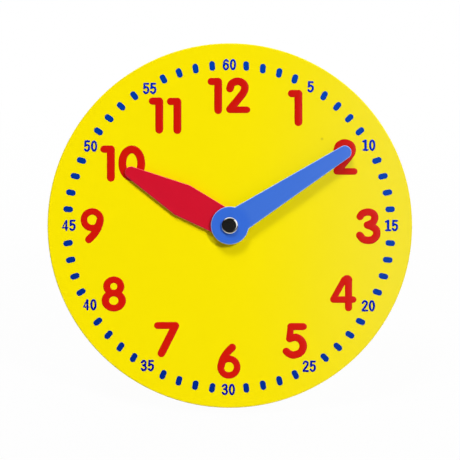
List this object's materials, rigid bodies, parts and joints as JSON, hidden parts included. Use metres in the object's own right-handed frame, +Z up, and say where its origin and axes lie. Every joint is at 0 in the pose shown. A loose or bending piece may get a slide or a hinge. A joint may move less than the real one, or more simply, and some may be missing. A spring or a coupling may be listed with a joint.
{
  "type": "geared teaching clock",
  "caption": "Round classroom demonstration clock whose minute and hour hands turn together through gears behind the dial, with a rear thumb wheel, keyhole hanger and fold-out stand leg.",
  "frame": {"origin": "bottom centre of the bounding box, on the table that the clock stands on", "axes": "+Z up; the dial faces -Y and leans back 20 degrees; +X to the right as seen from the front"},
  "size_m": [0.3, 0.1406, 0.2872],
  "materials": {
    "dial_yellow": "semi-gloss moulded",
    "hand_blue": "semi-gloss moulded",
    "hand_red": "semi-gloss moulded",
    "acetal_white": "satin",
    "clear_cover": "clear",
    "steel": "zinc plated",
    "cap_bright": "bright nickel",
    "pad_rubber": "matte"
  },
  "bodies": {
    "dial": {"dial_plate": "dial_yellow", "idler_post": "steel", "gear_cover": "clear_cover", "cover_screws": "steel", "friction_washer": "pad_rubber", "hanger_plate": "steel", "hanger_screws": "steel", "stand_pin": "steel", "pin_clip": "steel"},
    "minute_train": {"minute_hand": "hand_blue", "hand_washer": "acetal_white", "spindle": "steel", "spindle_cap": "cap_bright", "minute_pinion": "hand_blue", "setting_knob": "hand_blue", "knob_screw": "steel"},
    "hour_train": {"hour_hand": "hand_red", "hour_wheel": "hand_red"},
    "idler": {"idler_gear": "acetal_white"},
    "stand": {"stand_leg": "dial_yellow", "leg_pads": "pad_rubber"}
  },
  "joints": [
    {"name": "minute_hand_turn", "type": "hinge", "parent": "dial", "child": "minute_train", "pos_m": [0, -0.01924, 0.14654], "axis": [0, 0.9397, -0.342], "continuous": true},
    {"name": "hour_hand_turn", "type": "hinge", "parent": "dial", "child": "hour_train", "pos_m": [0, -0.01924, 0.14654], "axis": [0, 0.9397, -0.342], "continuous": true},
    {"name": "idler_turn", "type": "hinge", "parent": "dial", "child": "idler", "pos_m": [0, -0.00898, 0.17473], "axis": [0, 0.9397, -0.342], "continuous": true},
    {"name": "stand_fold", "type": "hinge", "parent": "dial", "child": "stand", "pos_m": [0, 0.01976, 0.21567], "axis": [-1, 0, 0], "range_deg": [0, 32.39]}
  ],
  "couplings": [
    {"joint": "hour_hand_turn", "follows": "minute_hand_turn", "ratio": 0.083333},
    {"joint": "idler_turn", "follows": "minute_hand_turn", "ratio": -0.33333}
  ]
}
